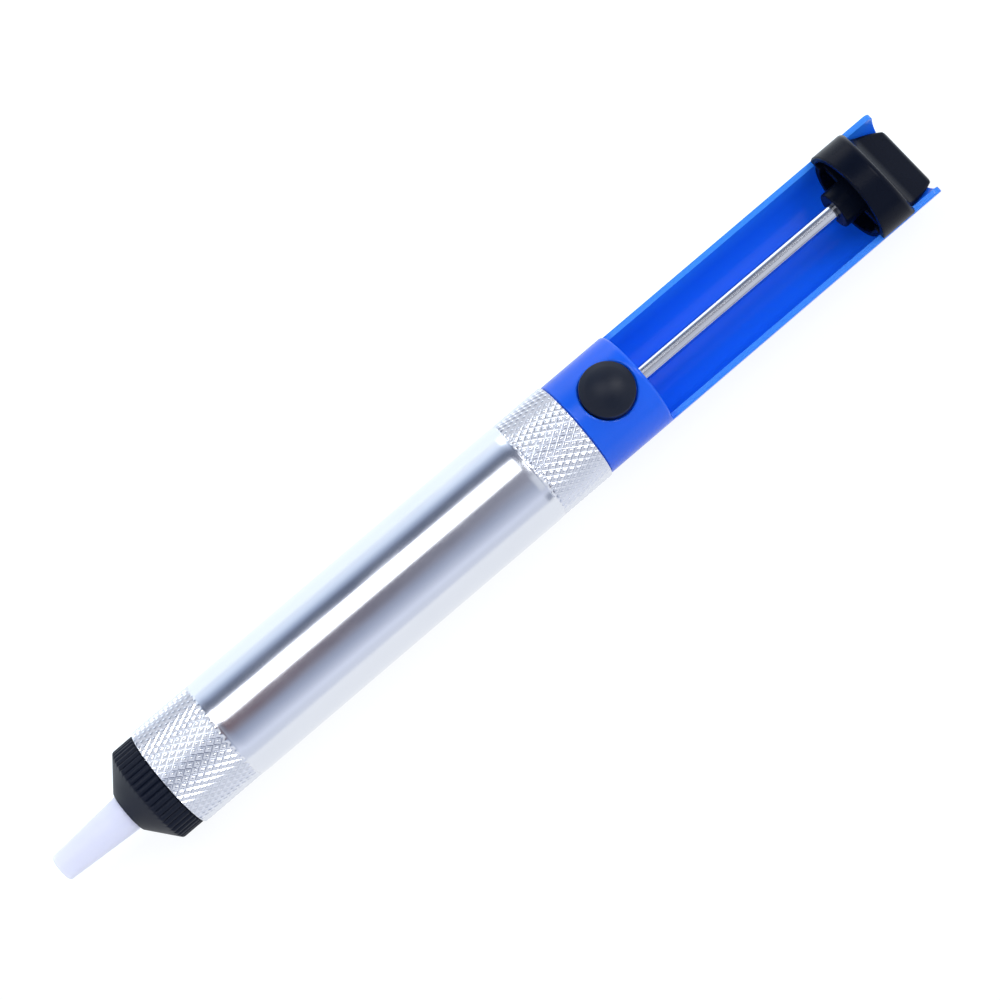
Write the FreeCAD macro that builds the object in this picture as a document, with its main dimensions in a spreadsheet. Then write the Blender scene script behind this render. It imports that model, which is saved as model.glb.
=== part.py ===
import FreeCAD, Part
import math
import os

import Sketcher

# Spring-powered desoldering pump, lying on its barrel.
#
# Frame of the whole part: +X runs along the tool from the nozzle to the thumb
# knob, +Z is the side of the release button and of the open side of the guard,
# and the origin is under the middle of the part, on the surface it lies on.
#
# Every body is drawn in the tool's own axis frame: local X is the distance from
# the nozzle's tip, local Z is the height above the tool's axis. Its Placement
# moves it by half the length and by the barrel's radius.

V = FreeCAD.Vector
doc = FreeCAD.newDocument("desoldering_pump")
sheet = doc.addObject("Spreadsheet::Sheet", "Sizes")

# name, millimetres, what it is
SIZES = [
    ("total_len", 193.4, "nozzle tip to rear of knob"),
    ("barrel_rad", 10.0, "smooth grip of the barrel"),
    ("knurl_rad", 9.9, "knurled bands of the barrel"),
    ("bore_rad", 8.5, "bore of the barrel"),
    ("barrel_front", 23.53, "front end of the barrel"),
    ("knurl_front_end", 36.6, "rear end of the front knurled band"),
    ("knurl_rear_start", 104.4, "front end of the rear knurled band"),
    ("barrel_rear", 115.64, "rear end of the barrel, front of the collar"),
    ("edge_break", 0.2, "chamfer on turned edges"),
    # nozzle
    ("nozzle_bore_rad", 1.5, "suction bore"),
    ("nozzle_bore_len", 17.2, "straight length of the suction bore"),
    ("nozzle_tip_rad", 2.53, "outside at the tip"),
    ("nozzle_root_rad", 3.5, "outside where it enters the cap"),
    ("nozzle_round", 0.4, "edge of the tip"),
    ("nozzle_flange_rad", 5.2, "retaining flange inside the cap"),
    ("nozzle_flange_at", 17.5, "front of the flange"),
    ("nozzle_flange_end", 20.5, "rear of the flange"),
    ("nozzle_funnel_rad", 4.6, "mouth of the funnel behind the bore"),
    ("retainer_rad", 6.2, "seat of the ring that keeps the nozzle from being pushed in"),
    ("retainer_in_rad", 4.7, "hole of that ring"),
    ("retainer_thick", 1.2, "that ring"),
    # nose cap
    ("cap_front", 14.9, "front face of the cap"),
    ("cap_front_rad", 4.07, "cone radius at the front face"),
    ("cap_cone_end", 19.3, "rear end of the cone"),
    ("cap_rad", 9.5, "ribbed skirt"),
    ("cap_gap", 0.05, "gap between skirt and barrel"),
    ("rib_count", 48, "grooves round the skirt"),
    ("rib_depth", 0.4, "depth of a groove"),
    ("rib_width", 0.55, "width of a groove at the outside"),
    ("spigot_rad", 8.45, "spigots that go into the barrel"),
    ("spigot_end", 31.5, "rear end of the nose spigot"),
    ("chamber_rad", 6.9, "solder chamber in the cap"),
    ("seal_groove_at", 25.2, "front of the nose seal groove"),
    ("seal_groove_wide", 1.3, "width of the nose seal groove"),
    ("seal_groove_rad", 7.4, "floor of the nose seal groove"),
    ("seal_wire", 0.5, "radius of the nose seal's section"),
    ("seat_thick", 0.8, "spring seat washer"),
    ("seat_hole_rad", 5.2, "hole of the spring seat washer"),
    ("seat_rad", 8.2, "outside of the spring seat washer"),
    # main spring
    ("spring_rad", 6.7, "mean radius of the main spring"),
    ("spring_wire", 0.5, "radius of the main spring's wire"),
    ("spring_turns", 12, "turns of the main spring"),
    # piston group
    ("piston_rad", 8.2, "body of the piston"),
    ("piston_nose", 92.0, "front face of the piston's boss"),
    ("piston_boss_rad", 5.8, "boss that centres the spring"),
    ("piston_front", 95.6, "front face of the piston's flange"),
    ("washer_thick", 0.6, "washer between spring and piston"),
    ("washer_hole_rad", 5.85, "hole of that washer"),
    ("washer_rad", 8.0, "outside of that washer"),
    ("ring_groove_at", 99.7, "front of the piston ring groove"),
    ("ring_groove_wide", 2.2, "width of the piston ring groove"),
    ("ring_groove_rad", 6.5, "floor of the piston ring groove"),
    ("ring_wire", 0.95, "radius of the piston ring's section"),
    ("piston_rear", 106.3, "rear face of the piston"),
    ("rod_rad", 1.5, "plunger rod"),
    ("rod_front", 90.5, "front end of the rod"),
    ("rod_rear", 184.2, "rear end of the rod, inside the knob"),
    ("rod_socket_end", 95.6, "bottom of the hole for the cleaning pin"),
    ("clip_thick", 0.5, "retaining clips"),
    ("clip_rad", 3.2, "outside of the clips"),
    ("clip_groove_rad", 1.2, "floor of the clip grooves"),
    ("clip_gap", 1.9, "open side of the clips"),
    ("pin_rad", 0.9, "cleaning pin"),
    ("pin_tip", 45.7, "front end of the cleaning pin"),
    ("notch_at", 166.75, "front wall of the latch notch"),
    ("notch_len", 1.4, "flat floor of the latch notch"),
    ("notch_depth", 0.55, "depth of the latch notch"),
    # rear housing
    ("housing_rad", 9.6, "collar and guard, outside"),
    ("guard_in_rad", 8.5, "guard, inside"),
    ("housing_spigot", 107.6, "front end of the rear spigot"),
    ("collar_rear", 129.62, "rear face of the collar"),
    ("collar_round", 1.0, "rounded rear edge of the collar"),
    ("guard_end", 192.2, "rear end of the guard"),
    ("rod_hole_rad", 1.7, "rod hole through the collar"),
    ("bush_rad", 3.0, "bush bore in the spigot"),
    ("bush_end", 114.9, "bottom of the bush bore"),
    ("bush_in_rad", 1.55, "bore of the bush"),
    ("bush_flange_rad", 3.6, "flange of the bush"),
    ("bush_flange_thick", 0.6, "flange of the bush"),
    ("buffer_thick", 1.2, "rubber buffer behind the piston"),
    ("buffer_in_rad", 3.85, "hole of the buffer"),
    ("buffer_rad", 8.3, "outside of the buffer"),
    # release button
    ("button_at", 123.15, "button axis from the nozzle tip"),
    ("button_rad", 4.95, "button"),
    ("button_pocket_rad", 5.15, "pocket for the button"),
    ("pocket_floor", 5.2, "floor of the pocket above the axis"),
    ("button_bottom", 7.6, "lower edge of the button"),
    ("button_edge", 9.9, "foot of the dome"),
    ("button_top", 11.8, "top of the dome"),
    ("button_in_rad", 3.9, "hollow of the button"),
    ("button_roof", 9.7, "roof of the hollow"),
    ("button_boss_rad", 1.9, "boss that holds the plate's tongue"),
    ("bspring_rad", 2.9, "mean radius of the button spring"),
    ("bspring_wire", 0.25, "radius of its wire"),
    ("bspring_turns", 3.5, "turns of the button spring"),
    ("plate_thick", 1.0, "latch plate"),
    ("plate_half", 3.5, "half width of the latch plate"),
    ("plate_low", 5.4, "lower edge of the plate below the axis"),
    ("plate_shoulder", 4.9, "shoulder of the plate above the axis"),
    ("tongue_half", 1.5, "half width of the tongue"),
    ("tongue_top", 9.3, "top of the tongue"),
    ("plate_hole_rad", 1.65, "half width of the hole round the rod"),
    ("plate_hole_low", 0.1, "centre of the hole's lower end"),
    ("plate_hole_high", 2.2, "centre of the hole's upper end"),
    ("slot_half_len", 0.65, "half length of the plate slot"),
    ("slot_half_wide", 3.75, "half width of the plate slot"),
    ("slot_deep", 13.1, "depth of the plate slot under the pocket floor"),
    # thumb knob
    ("knob_front", 178.32, "front rim of the knob's skirt"),
    ("knob_rad", 9.6, "half that rides over the guard"),
    ("knob_low_rad", 8.3, "half that runs inside the guard"),
    ("knob_lift", 0.12, "gap between the shoulders and the guard's rims"),
    ("knob_wall", 1.2, "wall of the skirt"),
    ("knob_cavity", 3.9, "depth of the skirt"),
    ("knob_web_half", 0.6, "half thickness of the side webs"),
    ("knob_boss_rad", 3.6, "boss round the rod"),
    ("knob_boss_front", 175.29, "front end of the boss"),
    ("knob_hole_deep", 8.95, "depth of the rod hole"),
    ("scoop_top", 183.4, "front edge of the thumb scoop at the top"),
    ("scoop_mid", 185.95, "scoop above its fillet"),
    ("scoop_mid_low", 0.1, "that point below the axis"),
    ("scoop_foot", 186.8, "scoop below its fillet"),
    ("scoop_foot_low", 0.9, "that point below the axis"),
    ("scoop_end_low", 4.9, "rear edge of the scoop below the axis"),
]


class Size:
    """A size: its value and the expression on the sheet that gives it."""

    def __init__(self, value, expr):
        self.v = value
        self.e = expr

    def __add__(self, o):
        o = size(o)
        return Size(self.v + o.v, "(%s + %s)" % (self.e, o.e))

    def __sub__(self, o):
        o = size(o)
        return Size(self.v - o.v, "(%s - %s)" % (self.e, o.e))

    def __mul__(self, o):
        o = size(o)
        return Size(self.v * o.v, "(%s * %s)" % (self.e, o.e))

    def __truediv__(self, o):
        o = size(o)
        return Size(self.v / o.v, "(%s / %s)" % (self.e, o.e))

    def __neg__(self):
        return Size(-self.v, "(-%s)" % self.e)


def size(x):
    return x if isinstance(x, Size) else Size(float(x), repr(float(x)))


class Sheet:
    pass


D = Sheet()
for row, (name, value, note) in enumerate(SIZES, start=1):
    sheet.set("A%d" % row, name.replace("_", " "))
    sheet.set("B%d" % row, str(value))
    sheet.setAlias("B%d" % row, name)
    sheet.set("C%d" % row, note)
    setattr(D, name, Size(float(value), "Sizes.%s" % name))
doc.recompute()

ZERO = size(0)
parts = []


def place(obj, label, along=None):
    """Label and Placement: the axis frame, or that frame moved along the axis."""
    obj.Label = label
    x = ZERO - D.total_len / 2 if along is None else along - D.total_len / 2
    obj.setExpression("Placement.Base.x", x.e)
    obj.setExpression("Placement.Base.z", D.barrel_rad.e)
    parts.append(obj)


def new_body(label, along=None):
    body = doc.addObject("PartDesign::Body", "Body_" + label)
    place(body, label, along)
    return body


def new_sketch(body, name, plane, offset=None):
    sk = body.newObject("Sketcher::SketchObject", name)
    for f in body.Origin.OriginFeatures:
        if f.Role == plane:
            sk.AttachmentSupport = [(f, "")]
    sk.MapMode = "FlatFace"
    if offset is not None:
        sk.AttachmentOffset = FreeCAD.Placement(V(0, 0, offset.v), FreeCAD.Rotation())
        sk.setExpression("AttachmentOffset.Base.z", offset.e)
    return sk


def bind(sk, kind, args, s):
    i = sk.addConstraint(Sketcher.Constraint(kind, *args, s.v))
    sk.setExpression("Constraints[%d]" % i, s.e)


def pin(sk, geo, pos, x=None, y=None):
    """Holds a point of the sketch at x and y from its origin."""
    if x is not None:
        if abs(x.v) < 1e-9:
            sk.addConstraint(Sketcher.Constraint("PointOnObject", geo, pos, -2))
        else:
            bind(sk, "DistanceX", (-1, 1, geo, pos), x)
    if y is not None:
        if abs(y.v) < 1e-9:
            sk.addConstraint(Sketcher.Constraint("PointOnObject", geo, pos, -1))
        else:
            bind(sk, "DistanceY", (-1, 1, geo, pos), y)


def outline(sk, points):
    """A closed outline. A point is (x, y), or (x, y, "arc", cx, cy, ccw) when an
    arc about a centre leads to it; cx or cy may be None, and is then solved."""
    pts = [(size(p[0]), size(p[1])) + tuple(p[2:]) for p in points]
    n = len(pts)
    ids = []
    for i in range(n):
        a, b = pts[i], pts[(i + 1) % n]
        if len(b) > 2:
            cx, cy, ccw = b[3], b[4], b[5]
            ax, ay, bx, by = a[0].v, a[1].v, b[0].v, b[1].v
            mx, my, dx, dy = (ax + bx) / 2, (ay + by) / 2, bx - ax, by - ay
            if cy is None:
                px = size(cx).v
                py = my - (px - mx) * dx / dy
            else:
                py = size(cy).v
                px = mx - (py - my) * dy / dx
            rad = math.hypot(ax - px, ay - py)
            t0, t1 = math.atan2(ay - py, ax - px), math.atan2(by - py, bx - px)
            if not ccw:
                t0, t1 = t1, t0
            if t1 < t0:
                t1 += 2 * math.pi
            g = sk.addGeometry(
                Part.ArcOfCircle(Part.Circle(V(px, py, 0), V(0, 0, 1), rad), t0, t1), False
            )
            ids.append((g, 1 if ccw else 2, 2 if ccw else 1, cx, cy))
        else:
            g = sk.addGeometry(
                Part.LineSegment(V(a[0].v, a[1].v, 0), V(b[0].v, b[1].v, 0)), False
            )
            ids.append((g, 1, 2, None, None))
    for i in range(n):
        j = (i + 1) % n
        sk.addConstraint(
            Sketcher.Constraint("Coincident", ids[i][0], ids[i][2], ids[j][0], ids[j][1])
        )
    for i in range(n):
        pin(sk, ids[i][0], ids[i][1], pts[i][0], pts[i][1])
    for g, _, _, cx, cy in ids:
        if cx is not None:
            pin(sk, g, 3, size(cx), None)
        elif cy is not None:
            pin(sk, g, 3, None, size(cy))


def circle(sk, x, y, rad):
    x, y = size(x), size(y)
    g = sk.addGeometry(Part.Circle(V(x.v, y.v, 0), V(0, 0, 1), rad.v), False)
    if abs(x.v) < 1e-9 and abs(y.v) < 1e-9:
        sk.addConstraint(Sketcher.Constraint("Coincident", g, 3, -1, 1))
    else:
        pin(sk, g, 3, x, y)
    bind(sk, "Radius", (g,), rad)


def arc_about_axis(sk, rad, low, high):
    g = sk.addGeometry(
        Part.ArcOfCircle(Part.Circle(V(0, 0, 0), V(0, 0, 1), rad.v), low, high), False
    )
    sk.addConstraint(Sketcher.Constraint("Coincident", g, 3, -1, 1))
    bind(sk, "Radius", (g,), rad)
    return g


def segment(sk, rad, level, upper):
    """The piece of a disc above or below a level chord."""
    dip = math.asin(level.v / rad.v)
    low, high = (dip, math.pi - dip) if upper else (math.pi - dip, 2 * math.pi + dip)
    g = arc_about_axis(sk, rad, low, high)
    a = V(rad.v * math.cos(low), level.v, 0)
    b = V(rad.v * math.cos(high), level.v, 0)
    k = sk.addGeometry(Part.LineSegment(b, a), False)
    sk.addConstraint(Sketcher.Constraint("Coincident", g, 2, k, 1))
    sk.addConstraint(Sketcher.Constraint("Coincident", g, 1, k, 2))
    sk.addConstraint(Sketcher.Constraint("Horizontal", k))
    pin(sk, k, 1, None, level)


def ring_segment(sk, rad_out, rad_in, level, upper):
    """The piece of a ring above or below a level line."""
    ends = []
    for rad in (rad_out, rad_in):
        dip = math.asin(level.v / rad.v)
        low, high = (dip, math.pi - dip) if upper else (math.pi - dip, 2 * math.pi + dip)
        g = arc_about_axis(sk, rad, low, high)
        ends.append((g, V(rad.v * math.cos(low), level.v, 0), V(rad.v * math.cos(high), level.v, 0)))
    (go, ao, bo), (gi, ai, bi) = ends
    k1 = sk.addGeometry(Part.LineSegment(ao, ai), False)
    k2 = sk.addGeometry(Part.LineSegment(bo, bi), False)
    for k, pos in ((k1, 1), (k2, 2)):
        sk.addConstraint(Sketcher.Constraint("Coincident", go, pos, k, 1))
        sk.addConstraint(Sketcher.Constraint("Coincident", gi, pos, k, 2))
        sk.addConstraint(Sketcher.Constraint("Horizontal", k))
        pin(sk, k, 1, None, level)


def turn(body, name, points, kind="PartDesign::Revolution", axis="H_Axis"):
    """A full turn of an outline in the plane of the axis."""
    sk = new_sketch(body, name + "_profile", "XZ_Plane")
    outline(sk, points)
    f = body.newObject(kind, name)
    f.Profile = sk
    f.ReferenceAxis = (sk, [axis])
    f.Angle = 360
    sk.Visibility = False
    doc.recompute()
    return f


def extrude(body, name, sk, length, kind="PartDesign::Pad", reverse=False, both=False):
    """A pad or pocket, with the change of volume checked."""
    before = body.Shape.Volume if not body.Shape.isNull() else 0.0
    f = body.newObject(kind, name)
    f.Profile = sk
    f.Type = 0
    f.Length = length.v
    f.setExpression("Length", length.e)
    if both:
        if hasattr(f, "SideType"):
            f.SideType = "Symmetric"
        else:
            f.Midplane = True
    f.Reversed = reverse
    doc.recompute()
    change = body.Shape.Volume - before
    if (change > 0) != (kind == "PartDesign::Pad") or abs(change) < 1e-3:
        raise RuntimeError("%s changes the volume by %.4f" % (name, change))
    return f


def cut_along(body, name, sk, length, **kw):
    return extrude(body, name, sk, length, kind="PartDesign::Pocket", **kw)


# ---------------------------------------------------------------- barrel
# Aluminium tube: a smooth grip between two knurled bands, which are turned a
# little smaller, and a plain bore for the piston.
barrel = new_body("barrel")
eb = D.edge_break
turn(barrel, "barrel_tube", [
    (D.barrel_front, D.bore_rad),
    (D.barrel_front, D.knurl_rad - eb),
    (D.barrel_front + eb, D.knurl_rad),
    (D.knurl_front_end - 0.1, D.knurl_rad),
    (D.knurl_front_end, D.barrel_rad),
    (D.knurl_rear_start, D.barrel_rad),
    (D.knurl_rear_start + 0.1, D.knurl_rad),
    (D.barrel_rear - eb, D.knurl_rad),
    (D.barrel_rear, D.knurl_rad - eb),
    (D.barrel_rear, D.bore_rad),
])

# ---------------------------------------------------------------- nose
# Heat-proof nozzle with a straight suction bore, a funnel and a flange that
# holds it in the cap from inside.
nozzle = new_body("nozzle")
turn(nozzle, "nozzle_solid", [
    (0, D.nozzle_bore_rad),
    (0, D.nozzle_tip_rad - D.nozzle_round),
    (D.nozzle_round, D.nozzle_tip_rad, "arc", D.nozzle_round, None, False),
    (D.cap_front, D.nozzle_root_rad),
    (D.nozzle_flange_at, D.nozzle_root_rad),
    (D.nozzle_flange_at, D.nozzle_flange_rad),
    (D.nozzle_flange_end, D.nozzle_flange_rad),
    (D.nozzle_flange_end, D.nozzle_funnel_rad),
    (D.nozzle_bore_len, D.nozzle_bore_rad),
])

# Cap: short cone, ribbed skirt, spigot that screws into the barrel, and the
# chamber that collects solder.
nose_cap = new_body("nose_cap")
skirt_rear = D.barrel_front - D.cap_gap
groove_end = D.seal_groove_at + D.seal_groove_wide
retainer_end = D.nozzle_flange_end + D.retainer_thick
turn(nose_cap, "cap_solid", [
    (D.cap_front, D.nozzle_root_rad + 0.02),
    (D.cap_front, D.cap_front_rad - 0.3),
    (D.cap_front + 0.15, D.cap_front_rad + 0.1),
    (D.cap_cone_end, D.cap_rad - 0.03),
    (D.cap_cone_end + 0.2, D.cap_rad),
    (skirt_rear - 0.35, D.cap_rad),
    (skirt_rear, D.cap_rad - 0.35),
    (skirt_rear, D.spigot_rad),
    (D.seal_groove_at, D.spigot_rad),
    (D.seal_groove_at, D.seal_groove_rad),
    (groove_end, D.seal_groove_rad),
    (groove_end, D.spigot_rad),
    (D.spigot_end - 0.3, D.spigot_rad),
    (D.spigot_end, D.spigot_rad - 0.3),
    (D.spigot_end, D.chamber_rad),
    (retainer_end + 0.3, D.chamber_rad),
    (retainer_end + 0.3, D.retainer_rad),
    (D.nozzle_flange_end, D.retainer_rad),
    (D.nozzle_flange_end, D.nozzle_flange_rad + 0.02),
    (D.nozzle_flange_at, D.nozzle_flange_rad + 0.02),
    (D.nozzle_flange_at, D.nozzle_root_rad + 0.02),
])
# One V groove in the skirt, then the full circle of them.
sk = new_sketch(nose_cap, "rib_profile", "YZ_Plane", D.cap_cone_end + 0.2)
outline(sk, [
    (ZERO - D.rib_width / 2, D.cap_rad + 0.1),
    (0, D.cap_rad - D.rib_depth),
    (D.rib_width / 2, D.cap_rad + 0.1),
])
rib = cut_along(nose_cap, "rib_groove", sk, D.barrel_front - D.cap_cone_end, reverse=True)
ribs = nose_cap.newObject("PartDesign::PolarPattern", "rib_pattern")
ribs.Originals = [rib]
for f in nose_cap.Origin.OriginFeatures:
    if f.Role == "X_Axis":
        ribs.Axis = (f, [""])
ribs.Angle = 360
ribs.Occurrences = int(D.rib_count.v)
ribs.setExpression("Occurrences", D.rib_count.e)
nose_cap.Tip = ribs
one_groove = nose_cap.Shape.Volume
doc.recompute()
if not one_groove - nose_cap.Shape.Volume > 10:
    raise RuntimeError("the rib grooves cut nothing")

# Ring pressed in behind the nozzle's flange, so that the nozzle can't be pushed
# back into the chamber.
retainer = new_body("nozzle_retainer")
turn(retainer, "retainer_ring", [
    (D.nozzle_flange_end, D.retainer_in_rad),
    (D.nozzle_flange_end, D.retainer_rad - 0.01),
    (retainer_end - 0.2, D.retainer_rad - 0.01),
    (retainer_end, D.retainer_rad - 0.2),
    (retainer_end, D.retainer_in_rad),
])

seat = new_body("spring_seat_washer")
turn(seat, "seat_ring", [
    (D.spigot_end, D.seat_hole_rad),
    (D.spigot_end, D.seat_rad),
    (D.spigot_end + D.seat_thick, D.seat_rad),
    (D.spigot_end + D.seat_thick, D.seat_hole_rad),
])


def o_ring(label, at, wire, outer):
    """A round-section ring about the tool's axis."""
    t = doc.addObject("Part::Torus", "Ring_" + label)
    t.setExpression("Radius2", wire.e)
    t.setExpression("Radius1", (outer - wire).e)
    t.Placement = FreeCAD.Placement(V(0, 0, 0), FreeCAD.Rotation(V(0, 1, 0), 90))
    place(t, label, at)
    return t


o_ring("nose_seal_ring", D.seal_groove_at + D.seal_groove_wide / 2, D.seal_wire, D.spigot_rad)


# ---------------------------------------------------------------- plunger
rod = new_body("plunger_rod")
front_clip = D.piston_nose - D.clip_thick
rear_clip = D.piston_rear
turn(rod, "rod_solid", [
    (D.rod_front, D.pin_rad + 0.01),
    (D.rod_front, D.rod_rad - 0.2),
    (D.rod_front + 0.2, D.rod_rad),
    (front_clip - 0.01, D.rod_rad),
    (front_clip - 0.01, D.clip_groove_rad),
    (D.piston_nose, D.clip_groove_rad),
    (D.piston_nose, D.rod_rad),
    (rear_clip, D.rod_rad),
    (rear_clip, D.clip_groove_rad),
    (rear_clip + D.clip_thick + 0.01, D.clip_groove_rad),
    (rear_clip + D.clip_thick + 0.01, D.rod_rad),
    (D.rod_rear - 0.3, D.rod_rad),
    (D.rod_rear, D.rod_rad - 0.3),
    (D.rod_rear, 0),
    (D.rod_socket_end, 0),
    (D.rod_socket_end, D.pin_rad + 0.01),
])
# Latch notch in the underside: a steep front wall and a ramp behind it.
sk = new_sketch(rod, "notch_profile", "XZ_Plane")
notch_floor = ZERO - (D.rod_rad - D.notch_depth)
below = ZERO - (D.rod_rad + 0.1)
outline(sk, [
    (D.notch_at, below),
    (D.notch_at, notch_floor),
    (D.notch_at + D.notch_len, notch_floor),
    (D.notch_at + D.notch_len + D.notch_depth + 0.1, below),
])
cut_along(rod, "latch_notch", sk, D.rod_rad * 3, both=True)

pin_body = new_body("cleaning_pin")
turn(pin_body, "pin_solid", [
    (D.pin_tip, 0),
    (D.pin_tip, D.pin_rad - 0.25),
    (D.pin_tip + 0.25, D.pin_rad),
    (D.rod_socket_end - 0.1, D.pin_rad),
    (D.rod_socket_end - 0.1, 0),
])

piston = new_body("piston")
ring_end = D.ring_groove_at + D.ring_groove_wide
turn(piston, "piston_solid", [
    (D.piston_nose, D.rod_rad + 0.01),
    (D.piston_nose, D.piston_boss_rad - 0.4),
    (D.piston_nose + 0.4, D.piston_boss_rad),
    (D.piston_front, D.piston_boss_rad),
    (D.piston_front, D.piston_rad - eb),
    (D.piston_front + eb, D.piston_rad),
    (D.ring_groove_at, D.piston_rad),
    (D.ring_groove_at, D.ring_groove_rad),
    (ring_end, D.ring_groove_rad),
    (ring_end, D.piston_rad),
    (D.piston_rear - eb, D.piston_rad),
    (D.piston_rear, D.piston_rad - eb),
    (D.piston_rear, D.rod_rad + 0.01),
])
o_ring("piston_seal_ring", D.ring_groove_at + D.ring_groove_wide / 2, D.ring_wire, D.spigot_rad)

washer = new_body("piston_washer")
turn(washer, "washer_ring", [
    (D.piston_front - D.washer_thick, D.washer_hole_rad),
    (D.piston_front - D.washer_thick, D.washer_rad),
    (D.piston_front, D.washer_rad),
    (D.piston_front, D.washer_hole_rad),
])


# Two spring-steel clips hold the piston on the rod, one at each of its faces.
def clip(name, at):
    ring = doc.addObject("Part::Cylinder", name + "_disc")
    ring.setExpression("Radius", D.clip_rad.e)
    ring.setExpression("Height", D.clip_thick.e)
    hole = doc.addObject("Part::Cylinder", name + "_hole")
    hole.setExpression("Radius", (D.clip_groove_rad + 0.01).e)
    hole.setExpression("Height", (D.clip_thick * 3).e)
    for c, back in ((ring, ZERO), (hole, D.clip_thick)):
        c.Placement = FreeCAD.Placement(V(0, 0, 0), FreeCAD.Rotation(V(0, 1, 0), 90))
        c.setExpression("Placement.Base.x", (at - back).e)
    mouth = doc.addObject("Part::Box", name + "_mouth")
    mouth.setExpression("Length", (D.clip_thick * 3).e)
    mouth.setExpression("Width", D.clip_gap.e)
    mouth.setExpression("Height", (D.clip_rad * 2).e)
    mouth.setExpression("Placement.Base.x", (at - D.clip_thick).e)
    mouth.setExpression("Placement.Base.y", (ZERO - D.clip_gap / 2).e)
    first = doc.addObject("Part::Cut", name + "_ring")
    first.Base, first.Tool = ring, hole
    second = doc.addObject("Part::Cut", name)
    second.Base, second.Tool = first, mouth
    return second


clips = doc.addObject("Part::Compound", "Clips")
clips.Links = [clip("clip_front", front_clip), clip("clip_rear", rear_clip)]
place(clips, "piston_clips")

# Thumb knob: the upper half rides over the guard's rims, the lower half runs
# inside the guard. The front is a hollow skirt with a boss for the rod, the
# rear has a scoop for the thumb.
knob = new_body("knob")
knob_len = D.total_len - D.knob_front
sk = new_sketch(knob, "upper_half", "YZ_Plane", D.knob_front)
segment(sk, D.knob_rad, D.knob_lift, True)
extrude(knob, "upper_pad", sk, knob_len)
sk = new_sketch(knob, "lower_half", "YZ_Plane", D.knob_front)
segment(sk, D.knob_low_rad, D.knob_lift, False)
extrude(knob, "lower_pad", sk, knob_len)
sk = new_sketch(knob, "scoop_profile", "XZ_Plane")
outline(sk, [
    (D.scoop_top - 0.26, D.knob_rad + 1.0),
    (D.scoop_top, D.knob_rad),
    (D.scoop_mid, -D.scoop_mid_low),
    (D.scoop_foot, -D.scoop_foot_low),
    (D.total_len, -D.scoop_end_low),
    (D.total_len + 1.0, -D.scoop_end_low),
    (D.total_len + 1.0, D.knob_rad + 1.0),
])
cut_along(knob, "thumb_scoop", sk, D.knob_rad * 3, both=True)
sk = new_sketch(knob, "skirt_upper", "YZ_Plane", D.knob_front)
ring_segment(sk, D.knob_rad - D.knob_wall, D.knob_boss_rad, D.knob_web_half, True)
cut_along(knob, "skirt_hollow_upper", sk, D.knob_cavity, reverse=True)
sk = new_sketch(knob, "skirt_lower", "YZ_Plane", D.knob_front)
ring_segment(sk, D.knob_low_rad - D.knob_wall, D.knob_boss_rad, ZERO - D.knob_web_half, False)
cut_along(knob, "skirt_hollow_lower", sk, D.knob_cavity, reverse=True)
# The webs stand back from the skirt's rim.
sk = new_sketch(knob, "web_step", "YZ_Plane", D.knob_front)
circle(sk, 0, 0, D.knob_low_rad - D.knob_wall)
cut_along(knob, "web_recess", sk, size(1.0), reverse=True)
sk = new_sketch(knob, "boss_profile", "YZ_Plane", D.knob_boss_front)
circle(sk, 0, 0, D.knob_boss_rad)
extrude(knob, "rod_boss", sk, D.knob_front + D.knob_cavity - D.knob_boss_front)
sk = new_sketch(knob, "rod_hole_profile", "YZ_Plane", D.knob_boss_front)
circle(sk, 0, 0, D.rod_rad + 0.01)
cut_along(knob, "rod_hole", sk, D.knob_hole_deep, reverse=True)


# ---------------------------------------------------------------- rear housing
# One moulding: spigot in the barrel, collar with the button pocket, and the
# open half-round guard along the rod.
housing = new_body("rear_housing")
cr = D.collar_round
turn(housing, "collar_solid", [
    (D.housing_spigot, D.bush_rad),
    (D.housing_spigot, D.spigot_rad - 0.4),
    (D.housing_spigot + 0.4, D.spigot_rad),
    (D.barrel_rear, D.spigot_rad),
    (D.barrel_rear, D.housing_rad - 0.25),
    (D.barrel_rear + 0.25, D.housing_rad),
    (D.collar_rear - cr, D.housing_rad),
    (D.collar_rear, D.housing_rad - cr, "arc", D.collar_rear - cr, None, False),
    (D.collar_rear, D.rod_hole_rad),
    (D.bush_end, D.rod_hole_rad),
    (D.bush_end, D.bush_rad),
])
sk = new_sketch(housing, "guard_profile", "YZ_Plane", D.collar_rear - cr)
ring_segment(sk, D.housing_rad, D.guard_in_rad, ZERO, False)
extrude(housing, "guard", sk, D.guard_end - D.collar_rear + cr)
sk = new_sketch(housing, "pocket_profile", "XY_Plane", D.pocket_floor)
circle(sk, D.button_at, 0, D.button_pocket_rad)
cut_along(housing, "button_pocket", sk, D.housing_rad - D.pocket_floor + 1.0, reverse=True)
sk = new_sketch(housing, "slot_profile", "XY_Plane", D.pocket_floor)
x0, x1 = D.button_at - D.slot_half_len, D.button_at + D.slot_half_len
outline(sk, [
    (x0, -D.slot_half_wide), (x1, -D.slot_half_wide),
    (x1, D.slot_half_wide), (x0, D.slot_half_wide),
])
cut_along(housing, "plate_slot", sk, D.slot_deep)

bush = new_body("rod_guide_bush")
turn(bush, "bush_solid", [
    (D.housing_spigot - D.bush_flange_thick, D.bush_in_rad),
    (D.housing_spigot - D.bush_flange_thick, D.bush_flange_rad),
    (D.housing_spigot, D.bush_flange_rad),
    (D.housing_spigot, D.bush_rad - 0.01),
    (D.bush_end - 0.1, D.bush_rad - 0.01),
    (D.bush_end - 0.1, D.bush_in_rad),
])

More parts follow.
